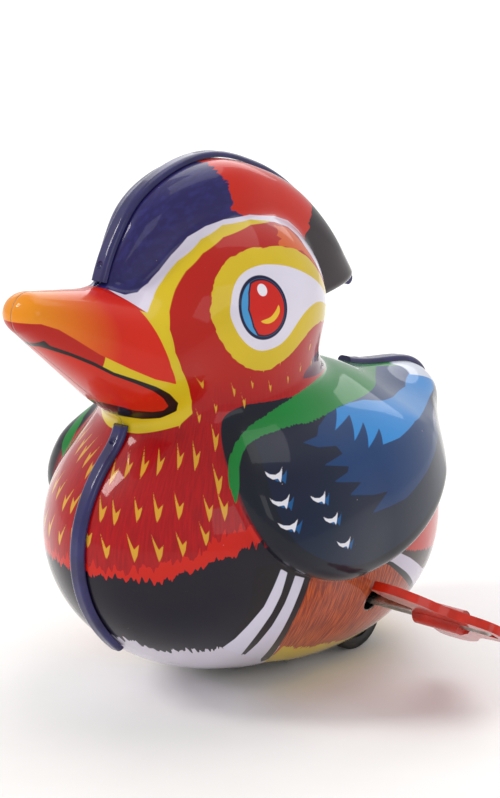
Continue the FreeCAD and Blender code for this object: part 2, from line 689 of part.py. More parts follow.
def mainspring():
    """Flat spiral spring round the winding arbor, its outer end beside the lower front pillar."""
    turns, r0, r1, thick, n = 6.0, ARBOR_R + 0.75, 7.9, 0.35, 72
    inner, outer = [], []
    for i in range(n + 1):
        a = 2 * math.pi * turns * i / n + math.radians(200)
        r = r0 + (r1 - r0) * i / n
        inner.append(Vector(-6.6, KEY_AXIS[0] + r * math.cos(a), KEY_AXIS[1] + r * math.sin(a)))
        r += thick
        outer.append(Vector(-6.6, KEY_AXIS[0] + r * math.cos(a), KEY_AXIS[1] + r * math.sin(a)))
    one = Part.BSplineCurve()
    one.interpolate(inner)
    two = Part.BSplineCurve()
    two.interpolate(outer)
    edges = [one.toShape(), Part.makeLine(inner[-1], outer[-1]), two.toShape(), Part.makeLine(outer[0], inner[0])]
    return Part.Face(Part.Wire(Part.__sortEdges__(edges))).extrude(Vector(5.8, 0, 0))


# ---------------------------------------------------------------- running gear
def drive_axle():
    axle = rod(-WHEEL_X[1] - 0.8, WHEEL_X[1] + 0.8, AXLE_R, DRIVE_AXIS)
    return axle.makeFillet(0.4, [e for e in axle.Edges if e.Length < 10])


def drive_wheel(side):
    wheel = rod(WHEEL_X[0], WHEEL_X[1], WHEEL_R, DRIVE_AXIS)
    wheel = wheel.cut(rod(WHEEL_X[1] - 1.0, WHEEL_X[1] + 1, WHEEL_R - 1.2, DRIVE_AXIS))
    wheel = wheel.fuse(rod(WHEEL_X[0], WHEEL_X[1], 2.3, DRIVE_AXIS)).cut(rod(0, 20, AXLE_R, DRIVE_AXIS))
    wheel = wheel.removeSplitter()
    return wheel if side > 0 else mirror(wheel)


def drive_tyre(side):
    tyre = rod(WHEEL_X[0], WHEEL_X[1], TYRE_R, DRIVE_AXIS)
    tyre = tyre.makeFillet(0.8, [e for e in tyre.Edges if e.Length > 10 and e.Closed])
    tyre = tyre.cut(rod(0, 20, WHEEL_R, DRIVE_AXIS))
    return tyre if side > 0 else mirror(tyre)


def front_wheel():
    wheel = rod(-2.0, 2.0, FRONT_R, FRONT_AXIS)
    wheel = wheel.makeFillet(0.8, [e for e in wheel.Edges if e.Closed and e.Length > 10])
    return wheel.cut(rod(-3, 3, 0.7 + RUN_GAP, FRONT_AXIS))


def front_axle():
    return rod(-4.2, 4.2, 0.7, FRONT_AXIS)


def front_wheel_bracket(over):
    """Inverted U over the front wheel, standing on the base plate."""
    y0 = FRONT_AXIS[0] - 2.2
    bridge = Part.makeBox(6.4, 4.4, 0.6, Vector(-3.2, y0, FRONT_AXIS[1] + FRONT_R + 0.8))
    legs = bridge
    for x in (-3.2, 2.6):
        legs = legs.fuse(Part.makeBox(0.6, 4.4, FRONT_AXIS[1] + FRONT_R + 0.8, Vector(x, y0, 0)))
    return legs.removeSplitter().common(over).cut(rod(-6, 6, 0.7, FRONT_AXIS))


# ---------------------------------------------------------------- write every piece
def write(name, shape):
    if not shape.isValid():
        print("INVALID", name)
    box = shape.BoundBox
    print("%-22s vol %9.2f  x %6.1f %6.1f  y %6.1f %6.1f  z %6.1f %6.1f  solids %d" % (
        name, shape.Volume, box.XMin, box.XMax, box.YMin, box.YMax, box.ZMin, box.ZMax, len(shape.Solids)))
    shape.exportStep("parts/%s.step" % name)


def main():
    shell = body_shell()
    write("body_shell_left", body_shell_left(shell))
    write("body_shell_right", mirror(shell))
    write("crest_seam_strip", crest_seam_strip())
    write("chest_seam_strip", chest_seam_strip())
    write("tail_seam_strip", tail_seam_strip())
    under = base_layer(-TIN - 0.05)
    over = base_layer(-TIN - 0.05 - BASE_THICK)
    write("base_plate", base_plate(under, over))
    write("motor_plate_left", motor_plate(1, over))
    write("motor_plate_right", motor_plate(-1, over))
    write("motor_pillars", motor_pillars())
    write("mainspring", mainspring())
    write("winding_shaft", winding_shaft())
    write("winding_key", winding_key())
    write("great_wheel", great_wheel())
    write("ratchet_wheel", ratchet_wheel())
    write("ratchet_click", click())
    write("click_rivet", click_rivet())
    write("second_arbor", arbor(SECOND_AXIS))
    write("second_pinion", second_pinion())
    write("second_wheel", second_wheel())
    write("governor_arbor", arbor(GOVERNOR_AXIS))
    write("governor_pinion", last_pinion(GOVERNOR_AXIS))
    write("governor_flywheel", governor_flywheel())
    write("drive_axle", drive_axle())
    write("drive_pinion", last_pinion(DRIVE_AXIS))
    for side, name in ((1, "left"), (-1, "right")):
        write("drive_wheel_" + name, drive_wheel(side))
        write("drive_tyre_" + name, drive_tyre(side))
    write("front_wheel", front_wheel())
    write("front_axle", front_axle())
    write("front_wheel_bracket", front_wheel_bracket(over))


main()
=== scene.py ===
"""Looks of the wind-up tin duck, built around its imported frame.

Forms and print outlines below are in millimetres in the row frame: X is the duck's left, -Y is where the
beak points, Z is up. They are turned into metres when a mesh is made.
"""
import json
import math

import bpy
import numpy as np
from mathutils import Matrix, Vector


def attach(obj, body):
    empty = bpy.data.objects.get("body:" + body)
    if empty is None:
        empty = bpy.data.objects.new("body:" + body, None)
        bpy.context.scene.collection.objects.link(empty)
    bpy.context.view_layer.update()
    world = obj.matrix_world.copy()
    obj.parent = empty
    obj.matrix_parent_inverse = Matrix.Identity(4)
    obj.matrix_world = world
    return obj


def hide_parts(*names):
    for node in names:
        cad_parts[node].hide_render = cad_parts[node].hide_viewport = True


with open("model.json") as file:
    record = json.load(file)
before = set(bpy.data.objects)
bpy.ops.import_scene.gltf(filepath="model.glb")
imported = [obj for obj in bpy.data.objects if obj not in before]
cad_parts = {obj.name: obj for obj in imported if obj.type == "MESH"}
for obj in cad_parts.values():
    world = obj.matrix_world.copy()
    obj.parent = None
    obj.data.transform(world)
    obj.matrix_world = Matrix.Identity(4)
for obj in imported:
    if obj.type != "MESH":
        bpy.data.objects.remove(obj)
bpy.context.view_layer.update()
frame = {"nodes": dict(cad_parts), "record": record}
NODES = frame["nodes"]
MM = 0.001

# ---------------------------------------------------------------- form of the stamped body
TIN = 0.45
HALF_GAP = 0.05
BELLY = ((0.0, 33.3), (30.5, 48.5, 32.0))
RUMP = ((12.0, 24.8), (27.0, 36.0, 24.0))
BREAST = ((-15.0, 33.8), (31.0, 31.0, 26.0))
TAIL = ((38.0, 44.3), (12.5, 20.0, 11.0))
TAIL_PITCH = 20.0
NECK = ((-12.0, 54.8), (17.0, 18.0, 20.0))
HEAD = ((-12.0, 77.8), (22.5, 24.0, 21.5))
BEAK_TIP = (-60.3, 82.8)
BEAK_ROOT = (-35.0, 72.3)
BEAK_TIP_R = 4.2
BEAK_ROOT_R = 12.0
BEAK_WIDTH = 1.25
WING = [(-27, 56.8), (-30, 48.8), (-29.5, 40.8), (-25, 33.8), (-15, 28.1), (-4, 25.8),
        (9, 27.3), (22, 31.8), (34, 37.8), (48, 44.8), (60, 54.8), (44, 64.8), (18, 68.8),
        (0, 66.8), (-16, 62.8), (-24, 60.8)]
WING_RISE = 3.6
WING_SHOULDER = 3.0
CREST_CENTRE = (-8.0, 71.8)
CREST_START = 17.0
CREST_END = 169.0
CREST_DEPTH = 13.0
CREST_POWER = 3.2
CREST_SHAPE = [(0, 35.5, 2.6), (15, 36.2, 3.6), (23, 36.8, 4.4), (37, 37.4, 6.2), (48, 37.8, 7.6),
               (62, 37.0, 9.0), (82, 35.4, 10.0), (104, 33.0, 9.7), (133, 32.4, 9.0),
               (157, 34.4, 8.3), (170, 37.0, 7.6), (180, 38.0, 7.4)]   # angle, radius, half width
KEY_HOLE = (7.0, 17.8)
KEY_HOLE_R = 2.75
OPENING_HALF_X = 14.5
OPENING_Y = (-14.0, 31.0)
OPENING_CORNER = 6.0

MESH_STEP = 0.6            # spacing of the first mesh, halved once
MESH_LOW = (-1.2, -66.6, -1.8)
MESH_HIGH = (37.2, 60.6, 109.8)


def soft_min(a, b, k):
    h = np.clip(0.5 + 0.5 * (b - a) / k, 0, 1)
    return b + (a - b) * h - k * h * (1 - h)


def soft_max(a, b, k):
    return -soft_min(-a, -b, k)


def smooth(t):
    t = np.clip(t, 0, 1)
    return t * t * (3 - 2 * t)


def ellipsoid(x, y, z, mass, pitch=0.0):
    (cy, cz), (rx, ry, rz) = mass
    y, z = y - cy, z - cz
    if pitch:
        s, c = math.sin(math.radians(pitch)), math.cos(math.radians(pitch))
        y, z = c * y + s * z, -s * y + c * z
    k0 = np.sqrt((x / rx) ** 2 + (y / ry) ** 2 + (z / rz) ** 2)
    k1 = np.sqrt((x / rx ** 2) ** 2 + (y / ry ** 2) ** 2 + (z / rz ** 2) ** 2) + 1e-9
    return k0 * (k0 - 1) / k1


def beak(x, y, z):
    """Rounded cone from the beak's tip to its root."""
    x = x / BEAK_WIDTH
    ay, az = BEAK_ROOT[0] - BEAK_TIP[0], BEAK_ROOT[1] - BEAK_TIP[1]
    l2 = ay * ay + az * az
    rr = BEAK_TIP_R - BEAK_ROOT_R
    a2, il2 = l2 - rr * rr, 1 / l2
    py, pz = y - BEAK_TIP[0], z - BEAK_TIP[1]
    along = py * ay + pz * az
    past = along - l2
    x2 = (x * l2) ** 2 + (py * l2 - along * ay) ** 2 + (pz * l2 - along * az) ** 2
    y2, z2 = along * along * l2, past * past * l2
    k = -rr * rr * x2
    d = (np.sqrt(x2 * a2 * il2) + along * rr) * il2 - BEAK_TIP_R
    d = np.where(np.sign(along) * a2 * y2 < k, np.sqrt(x2 + y2) * il2 - BEAK_TIP_R, d)
    return np.where(np.sign(past) * a2 * z2 > k, np.sqrt(x2 + z2) * il2 - BEAK_ROOT_R, d)


def torso(x, y, z):
    d = ellipsoid(x, y, z, BELLY)
    d = soft_min(d, ellipsoid(x, y, z, RUMP), 6)
    d = soft_min(d, ellipsoid(x, y, z, BREAST), 5)
    d = soft_min(d, ellipsoid(x, y, z, TAIL, TAIL_PITCH), 10)
    return soft_min(d, ellipsoid(x, y, z, NECK), 12)


def rounded(points, per=6):
    """Closed smooth outline through the points."""
    p = np.array(points, float)
    t = (np.arange(per) / per)[:, None]
    out = []
    for i in range(len(p)):
        a, b, c, d = p[i - 1], p[i], p[(i + 1) % len(p)], p[(i + 2) % len(p)]
        out.append(0.5 * (2 * b + (c - a) * t + (2 * a - 5 * b + 4 * c - d) * t ** 2
                          + (3 * b - a - 3 * c + d) * t ** 3))
    return np.concatenate(out)


def outline_distance(u, v, outline):
    """Distance to a closed outline, negative inside."""
    u, v = np.broadcast_arrays(u, v)
    best = np.full(u.shape, 1e9)
    inside = np.zeros(u.shape, bool)
    outline = np.asarray(outline, float)
    for (u0, v0), (u1, v1) in zip(outline, np.roll(outline, -1, 0)):
        eu, ev = u1 - u0, v1 - v0
        wu, wv = u - u0, v - v0
        t = np.clip((wu * eu + wv * ev) / (eu * eu + ev * ev + 1e-12), 0, 1)
        best = np.minimum(best, (wu - t * eu) ** 2 + (wv - t * ev) ** 2)
        if ev:
            inside ^= ((v0 > v) != (v1 > v)) & (u < eu * (v - v0) / ev + u0)
    return np.sqrt(best) * np.where(inside, -1, 1)


WING_EDGE = rounded(WING)


def wing_edge(y, z):
    return outline_distance(y, z, WING_EDGE)


def add_wing(d, x, y, z):
    rise = WING_RISE * smooth(-torso(0.0, y, z) / 9) * smooth((61.8 - z) / 13) * smooth((53 - y) / 22)
    return soft_min(d, soft_max(d - rise, wing_edge(y, z), WING_SHOULDER), 0.8)


def smooth_table(column):
    """A crest column at every degree, as a smooth curve through the table."""
    t = np.array([row[0] for row in CREST_SHAPE], float)
    v = np.array([row[column] for row in CREST_SHAPE], float)
    slope = np.gradient(v, t)
    slope[1:-1] = (v[2:] - v[:-2]) / (t[2:] - t[:-2])
    at = np.arange(0, 181.0)
    i = np.clip(np.searchsorted(t, at, "right") - 1, 0, len(t) - 2)
    h = t[i + 1] - t[i]
    u = (at - t[i]) / h
    return ((2 * u ** 3 - 3 * u ** 2 + 1) * v[i] + (u ** 3 - 2 * u ** 2 + u) * h * slope[i]
            + (3 * u ** 2 - 2 * u ** 3) * v[i + 1] + (u ** 3 - u ** 2) * h * slope[i + 1])


CREST_RADIUS = smooth_table(1)
CREST_WIDTH = smooth_table(2)


def crest_polar(y, z):
    y, z = y - CREST_CENTRE[0], z - CREST_CENTRE[1]
    angle = np.degrees(np.arctan2(z, -y))
    return np.where(angle < -90, angle + 360, angle), np.hypot(y, z)


def crest(x, y, z):
    angle, rho = crest_polar(y, z)
    r = np.interp(angle, np.arange(181), CREST_RADIUS)
    w = np.interp(angle, np.arange(181), CREST_WIDTH)
    n = CREST_POWER
    q = ((np.abs(x) / w) ** n + (np.abs(rho - (r - CREST_DEPTH)) / CREST_DEPTH) ** n) ** (1 / n)
    d = (q - 1) * np.minimum(w, CREST_DEPTH) * 0.9
    d = soft_max(d, rho * np.sin(np.radians(np.clip(angle - CREST_END, -90, 90))), 2.0)
    return soft_max(d, rho * np.sin(np.radians(np.clip(CREST_START - angle, -90, 90))), 2.0)


def duck(x, y, z):
    """Signed distance to the outer skin, negative inside."""
    d = soft_min(torso(x, y, z), ellipsoid(x, y, z, HEAD), 9)
    d = soft_min(d, beak(x, y, z), 7)
    d = add_wing(d, x, y, z)
    return soft_min(d, crest(x, y, z), 1.6)


def field_gradient(p, step=0.05):
    out = np.empty_like(p)
    for k in range(3):
        q, r = p.copy(), p.copy()
        q[:, k] += step
        r[:, k] -= step
        out[:, k] = (duck(*q.T) - duck(*r.T)) / (2 * step)
    return out


# ---------------------------------------------------------------- mesh of one half
def surface_net(low, high, step):
    """Quads along the zero level of the duck's field."""
    axes = [np.arange(low[k], high[k] + step, step) for k in range(3)]
    f = duck(axes[0][:, None, None], axes[1][None, :, None], axes[2][None, None, :])
    neg = f < 0
    size = np.array(f.shape) - 1
    corners = [(i, j, k) for i in (0, 1) for j in (0, 1) for k in (0, 1)]

    def part(a, c):
        return a[c[0]:c[0] + size[0], c[1]:c[1] + size[1], c[2]:c[2] + size[2]]

    count = sum(part(neg, c).astype(np.int8) for c in corners)
    cells = np.argwhere((count > 0) & (count < 8))
    index = np.full(size, -1)
    index[tuple(cells.T)] = np.arange(len(cells))
    total, hits = np.zeros((len(cells), 3)), np.zeros(len(cells))
    for a in corners:
        for k in range(3):
            if a[k]:
                continue
            b = tuple(v + (n == k) for n, v in enumerate(a))
            fa, fb = f[tuple((cells + a).T)], f[tuple((cells + b).T)]
            cut = (fa < 0) != (fb < 0)
            t = np.where(cut, fa / np.where(cut, fa - fb, 1), 0)
            point = cells + np.array(a, float)
            point[:, k] += t
            total += point * cut[:, None]
            hits += cut
    verts = np.array([ax[0] for ax in axes]) + step * total / hits[:, None]
    quads = []
    for k in range(3):
        u, v = (k + 1) % 3, (k + 2) % 3
        lower = [slice(None)] * 3
        upper = [slice(None)] * 3
        lower[k], upper[k] = slice(0, -1), slice(1, None)
        cross = np.argwhere(neg[tuple(lower)] != neg[tuple(upper)])
        within = (cross[:, u] > 0) & (cross[:, v] > 0)
        cross = cross[within & (cross[:, u] < size[u]) & (cross[:, v] < size[v])]
        ring = []
        for du, dv in ((1, 1), (0, 1), (0, 0), (1, 0)):
            cell = cross.copy()
            cell[:, u] -= du
            cell[:, v] -= dv
            ring.append(index[tuple(cell.T)])
        quad = np.stack(ring, 1)
        flip = ~neg[tuple(cross.T)]
        quad[flip] = quad[flip][:, ::-1]
        quads.append(quad)
    return verts, np.concatenate(quads)


def split_quads(verts, quads):
    """Each quad becomes four."""
    edges = np.stack([quads, np.roll(quads, -1, 1)], -1).reshape(-1, 2)
    edges.sort(axis=1)
    pairs, which = np.unique(edges, axis=0, return_inverse=True)
    mids = len(verts) + which.reshape(-1, 4)
    centres = len(verts) + len(pairs) + np.arange(len(quads))
    points = np.concatenate([verts, verts[pairs].mean(1), verts[quads].mean(1)])
    small = [np.stack([quads[:, k], mids[:, k], centres, mids[:, k - 1]], 1) for k in range(4)]
    return points, np.concatenate(small)


def on_surface(p, rounds=3):
    for _ in range(rounds):
        g = field_gradient(p)
        d = duck(*p.T)
        p = p - g * (np.clip(d, -0.5, 0.5) / np.maximum((g * g).sum(1), 0.2))[:, None]
    return p


def snap_to(p, measure, reach):
    """Slides points near a cut outline onto it; returns the points and what lies inside."""
    d = measure(p)
    near = np.abs(d) < reach
    q = p[near]
    for _ in range(3):
        dq = measure(q)
        g = np.stack([(measure(q + e) - measure(q - e)) / 0.1 for e in 0.05 * np.eye(3)], 1)
        q = q - g * (dq / np.maximum((g * g).sum(1), 1e-6))[:, None]
    p = p.copy()
    p[near] = q
    return p, np.where(near, 0.0, d) <= 0


def opening_distance(p):
    half_y = (OPENING_Y[1] - OPENING_Y[0]) / 2
    qx = np.abs(p[:, 0]) - OPENING_HALF_X + OPENING_CORNER
    qy = np.abs(p[:, 1] - (OPENING_Y[0] + half_y)) - half_y + OPENING_CORNER
    d = np.hypot(np.maximum(qx, 0), np.maximum(qy, 0)) + np.minimum(np.maximum(qx, qy), 0)
    d = d - OPENING_CORNER
    return np.where(p[:, 2] < 20, d, 99.0)


def key_hole_distance(p):
    d = np.hypot(p[:, 1] - KEY_HOLE[0], p[:, 2] - KEY_HOLE[1]) - KEY_HOLE_R
    return np.where(p[:, 0] > 15, d, 99.0)


def cut_out(p, faces, measure):
    p, inside = snap_to(p, measure, MESH_STEP * 0.3)
    return p, faces[~inside[faces].all(1)]


def half_surface():
    """The duck's left half, X from the seam outward, before the key hole is cut."""
    verts, quads = surface_net(MESH_LOW, MESH_HIGH, MESH_STEP)
    verts, quads = split_quads(on_surface(verts), quads)
    verts = on_surface(verts, 2)
    keep = (verts[quads][:, :, 0] > HALF_GAP - 0.35).any(1)
    quads = quads[keep]
    seam = np.abs(verts[:, 0] - HALF_GAP) < 0.16
    verts[seam, 0] = HALF_GAP
    quads = quads[(verts[quads][:, :, 0] > HALF_GAP - 1e-6).all(1)]
    return cut_out(verts, quads, opening_distance)


def compact(verts, quads, fields):
    used = np.unique(quads)
    new = np.full(len(verts), -1)
    new[used] = np.arange(len(used))
    return verts[used], new[quads], {k: v[used] for k, v in fields.items()}


# ---------------------------------------------------------------- the print
# Body outlines are (s, z): s runs round the body from the breast seam, in millimetres.
# Head outlines are (y, z), and the crest is by angle about its centre.
CHART_RADIUS = 34
CHART_AXIS_Y = -5
FAR = 9.0                  # distance stored where an outline is not measured
RED_BAND = [(-6, 33), (2.3, 32.8), (8.9, 32.8), (12.7, 33.4), (16.8, 35.2), (21, 37.8),
            (24.8, 39.9), (30, 41), (33, 38), (28.4, 36.6), (25.4, 33.6), (21, 31.2), (16.9, 28),
            (13.2, 26.7), (10.1, 26.9), (6.8, 27.6), (1.9, 28.4), (-6, 28.4)]
BLACK_BELLY = [(-6, 31), (14, 31), (22, 35), (30, 38), (38, 34), (35.2, 29.8), (34.3, 26.5),
               (32.8, 22.4), (30.3, 17.5), (27.3, 12.1), (24.5, 15.8), (21.6, 14.7), (18.1, 13.9),
               (15.4, 14.4), (11.6, 13.8), (9.2, 14.6), (4.4, 16.1), (-6, 18)]
WHITE_BELLY = [(-8, 17), (4.4, 17), (15, 16), (28, 17.5), (38.6, 12), (38.6, 7.5), (38.7, 4.8),
               (40, -6), (-8, -6)]
STRIPE_1 = [(33.9, 32), (32.5, 28.3), (30.9, 24.3), (27.9, 20.1), (25.4, 17), (22.6, 14.6),
            (27, 11.4), (30.3, 17.5), (32.8, 22.4), (34.3, 26.5), (35.3, 31)]
STRIPE_2 = [(37.1, 30), (35.4, 24.1), (33.4, 19), (30.8, 14.5), (27.9, 11), (34.5, 7.5),
            (35.9, 13.9), (37, 19), (38.1, 23.9), (39.4, 29)]
STRIPE_BLACK = [(29, 33), (28, 24), (25, 18.5), (25.5, 15), (27.4, 11.7), (34.6, 8.2), (36.2, 6.4),
                (38.6, 7.3), (38.3, 12.9), (38.9, 19), (40, 23.9), (41.4, 30), (38, 34)]
FLANK = [(38.5, 4), (120, -6), (120, 60), (38, 34)]
YELLOW_HEM = [(37.8, 7.4), (40.3, 11.3), (45, 10.2), (51, 8.9), (59.7, 8.4), (72.7, 6.9),
              (88, 7.2), (120, 8), (120, -8), (38.4, -8)]
REAR_RED = [(65.4, 30.3), (73.7, 37), (88, 46), (120, 60), (120, 22.5), (100, 22), (88.8, 21.6),
            (77, 25.2)]
REAR_BAND = [(61.5, 30), (65.4, 30.3), (77, 25.4), (88.8, 21.8), (120, 22.3), (120, 17), (96, 17),
             (86.5, 17.6), (77, 22.9), (63.7, 28)]
REAR_STRIPE = [(62.9, 28.4), (63.7, 29.5), (70, 27.6), (76.1, 24.2), (84.8, 18.6), (95, 15.6),
               (120, 15), (120, 11.8), (95, 12.4), (84.8, 15), (76, 21.2), (70, 25)]
REAR_LINE = [(61.8, 28), (63.6, 30), (77, 22), (86, 15.6), (95, 12.9), (120, 12.2), (120, 11),
             (95, 11.5), (84.8, 13.8), (75.4, 20.2), (69, 24.6)]
GREEN = [(25.6, 45.3), (24.4, 48.1), (24.1, 50.8), (24.6, 53.8), (26.8, 56.6), (30.2, 58.4),
         (35.7, 59.9), (44.1, 61.7), (53.2, 62.8), (63.6, 63.4), (78.7, 63.4), (93, 63.7),
         (125, 64.2), (125, 58.3), (102.5, 55.6), (97.7, 54.2), (89.4, 55), (81.9, 55.9),
         (77.2, 57.1), (70.8, 57.5), (64.6, 57.6), (56.9, 57.3), (48.4, 56.9), (41.1, 57.1),
         (35.4, 56.7), (30.9, 56.1), (27.9, 54.9), (26.6, 52.6), (26.3, 50), (26.1, 47.7)]
LIGHT_BLUE = [(62.9, 57.6), (70.8, 57.6), (77.2, 57.2), (81.9, 56), (89.4, 55.1), (97.7, 54.3),
              (102, 55.4), (103.6, 55), (102.4, 52), (100.8, 51.1), (94.7, 50.9), (82.4, 51.4),
              (72.9, 50.4), (66.4, 50.4), (69.6, 53), (61.3, 50.6), (67.0, 54.6), (58.6, 52.3),
              (65.3, 56.2), (54.9, 54.7)]
ROYAL_BLUE = [(63.9, 57.6), (56.9, 57.3), (50.2, 56), (47.6, 54.7), (42.2, 54.3), (45.9, 53.1),
              (51.8, 52.5), (52.3, 51.1), (45.2, 50.2), (52.5, 48.8), (51.5, 47.9), (46.4, 47),
              (54.9, 45.4), (50.1, 43.9), (58, 42.3), (62.7, 42), (56.1, 39), (62.6, 39),
              (68, 39.3), (72.5, 40.7), (77.1, 42.3), (83.7, 44.9), (96, 50), (104, 54),
              (104, 57.6)]
TAIL_WHITE = [(101.6, 55.2), (103, 51.2), (112, 50), (125, 53), (125, 59.5), (104.6, 57)]
NECK_SHADE = [(14, 69.5), (2, 68.9), (-2.3, 68.2), (-3.6, 66.8), (-5.7, 65.8), (-6.6, 64.6),
              (-1.1, 64.1), (14, 63.2)]

CREST_EDGE = [(-43.9, 85.8), (-41.9, 84.9), (-40.4, 84.2), (-37.7, 84.4), (-35.1, 85.8),
              (-32.7, 87.9), (-30.1, 90.7), (-26.6, 93.8), (-22.7, 95.5), (-18.6, 96.4),
              (-12.3, 96.7), (-5.3, 95.7), (-0.2, 94.1), (3.4, 91.7), (8.9, 86.2), (12.9, 79.6),
              (13.9, 74), (48, 70), (48, 125), (-52, 125), (-52, 92)]
WHITE_BAND = [(-43.9, 87), (-41.3, 83.3), (-39.5, 81.2), (-36.5, 83.3), (-33.3, 86.1),
              (-29.8, 89.5), (-24.9, 93.1), (-19.7, 95.1), (-12.4, 95.8), (-7.2, 94.9),
              (-3.5, 93.5), (-1.9, 91.7), (-1.8, 89.8), (0.4, 85.6), (4.5, 81), (9, 77.5),
              (16, 74), (16, 100), (-30, 100)]
CHEEK_YELLOW = [(-7.8, 95.1), (-13.1, 96), (-19.7, 95.5), (-24.9, 93.3), (-29.8, 89.7),
                (-33.3, 86.2), (-36.5, 83.4), (-39.5, 81.3), (-46, 84), (-50, 76), (-48, 60),
                (-44, 55.4), (-36.4, 56.5), (-31.9, 58.4), (-29.9, 60.7), (-30.6, 63.3),
                (-32.5, 66.2), (-35.6, 70.4), (-37.1, 74), (-37, 78.2), (-35.5, 81.2),
                (-32.7, 84.7), (-29.8, 88), (-26.3, 91), (-21.4, 93.6), (-14.3, 95.2)]
UPPER_BILL = [(-46, 92), (-43.9, 85), (-41.3, 83.4), (-40.6, 81.3), (-40, 78.8), (-39.1, 75.2),
              (-38, 71.4), (-36.1, 67.7), (-40.5, 69.2), (-45.2, 71.7), (-50.8, 75), (-55.2, 78.2),
              (-58.5, 80.5), (-61.6, 81.8), (-63.9, 82), (-72, 82), (-72, 96)]
LOWER_BLACK = [(-60, 78.4), (-58.6, 77.2), (-55.2, 75.6), (-51.4, 73.6), (-47.4, 71.1),
               (-43.6, 69.4), (-40, 67.7), (-36.5, 65.7), (-33.2, 63.2), (-32.6, 61.4),
               (-34.5, 59.9), (-36.5, 59.6), (-38.2, 59.9), (-41, 60.6), (-48, 62), (-64, 72)]
LOWER_BILL = [(-59.4, 76.9), (-54.8, 74.8), (-51.1, 72.8), (-47.2, 70.4), (-43.3, 68.5),
              (-40, 66.7), (-37.2, 64.8), (-34.8, 62.7), (-35, 61.7), (-36.6, 61.5), (-39.3, 61.9),
              (-41.2, 62.7), (-50, 66), (-64, 74)]
ORANGE_PATCH = [(-8.6, 94.7), (-8, 93.7), (-9.9, 92.9), (-9.4, 92.3), (-11.1, 91.2), (-6.3, 90),
                (-2.5, 88.2), (-0.8, 86.1), (-1.2, 88.8), (-2.6, 91.5), (-4.2, 93.4)]
RING = [(-29, 80.4), (-28.4, 82.6), (-27.4, 85.1), (-25.7, 87.8), (-23.4, 89.8), (-19.9, 91),
        (-15.9, 91.5), (-10.8, 91.1), (-6, 89.7), (-2.1, 87), (0.6, 83.8), (4.4, 80), (9, 76.6),
        (13, 75), (13, 73.6), (6, 74.2), (1, 75), (-2.9, 75.4), (-7.3, 74.2), (-10.6, 71.7),
        (-13.5, 69.7), (-16.7, 68.4), (-19.7, 68.5), (-22.6, 69.8), (-25.7, 72.6), (-27.9, 75.8)]
EYE_PATCH = [(-25.8, 80.3), (-25.5, 81.9), (-24.7, 84.3), (-23.2, 86.4), (-21, 87.8),
             (-17.9, 88.5), (-14.8, 88.3), (-11.5, 87.6), (-7.8, 86.2), (-3.8, 84.2), (-1, 82.4),
             (3, 79.3), (7.5, 76.8), (3, 77.6), (-1.1, 79.2), (-4.8, 79.7), (-8.4, 78.8),
             (-11.2, 77), (-13.8, 74.4), (-16.1, 72.9), (-19.5, 72.4), (-22.2, 73.6),
             (-24.3, 75.9), (-25.5, 78.5)]
EYE_CENTRE, EYE_RADII = (-19.2, 80.7), (5.1, 6.1)
IRIS_FRONT = [(-20.4, 87.5), (-22.1, 83.8), (-22.7, 80.7), (-21.9, 77.3), (-20, 74), (-8, 74),
              (-8, 87.5)]
EYE_SMILE = [(-20.3, 78.3), (-18.3, 78.9), (-17, 80), (-16.2, 81), (-16.1, 79.6), (-17.3, 78.2),
             (-18.9, 77.7)]
EYE_GLINT, GLINT_RADII = (-19.2, 84.1), (1.0, 1.15)

BIRDS = [(32.9, 50.1), (33.4, 45.5), (34.5, 41.1), (41.7, 44.8), (43.9, 40.6), (46.8, 35.2)]
TICKS = [(5.2, 49), (8.1, 49.2), (10.9, 49.9), (14.4, 50.9), (17.6, 50.8), (21.2, 53.8),
         (2.9, 47.6), (22.4, 46.6), (3.3, 41), (5.8, 40.9), (9.4, 41.9), (12.6, 42), (16, 42.6),
         (21, 42.2), (23.6, 42.2), (1.7, 35.9), (5.1, 34.4), (9.6, 34.5), (13.4, 34.8), (17, 35.9),
         (20.6, 37.8), (12.8, 57.8), (17, 58.6), (20.8, 60.4), (18.1, 65.5), (25.4, 63.4),
         (30.4, 64.6), (28.1, 60.9), (36.1, 63.2), (33.5, 67.7), (42.9, 64.3), (48.9, 65.6),
         (38.9, 68.6), (56.8, 65.8), (53, 69.6)]


def ellipse_distance(u, v, centre, radii):
    k = np.hypot((u - centre[0]) / radii[0], (v - centre[1]) / radii[1])
    return (k - 1) * min(radii)


def tick_distance(s, z):
    """Small feather marks: a forked stroke that comes to a point below."""
    mark = np.array([(0, 0), (-0.38, 1.3), (-1.5, 5.2), (-0.12, 2.3), (0.55, 3.3), (0.42, 1.3)])
    d = np.full(s.shape, FAR)
    for k, (cs, cz) in enumerate(TICKS):
        size = (1.0 if cz < 56 else 0.62) * (0.92 + 0.16 * ((k * 37) % 10) / 10)
        near = (np.abs(s - cs) < 4) & (np.abs(z - cz - 2.5) < 5)
        d[near] = np.minimum(d[near], outline_distance(s[near] - cs, z[near] - cz, mark * size))
    return d


def bird_distance(s, z, across=0.0):
    """Small white marks on the wing: a curved stroke with a barb."""
    stroke = np.array([(-2.0, 1.1), (-0.9, 0.35), (0.3, 0.15), (1.3, 0.5), (2.1, 1.3), (1.6, 0.0),
                       (1.1, -1.3), (0.7, -0.5), (-0.4, -0.55), (-1.4, 0.1)])
    d = np.full(s.shape, FAR)
    for cs, cz in BIRDS:
        near = (np.abs(s - cs) < 5) & (np.abs(z - cz) < 5)
        u, v = s[near] - cs - across, z[near] - cz + across * 0.5
        d[near] = np.minimum(d[near], outline_distance(u, v, stroke))
    return d


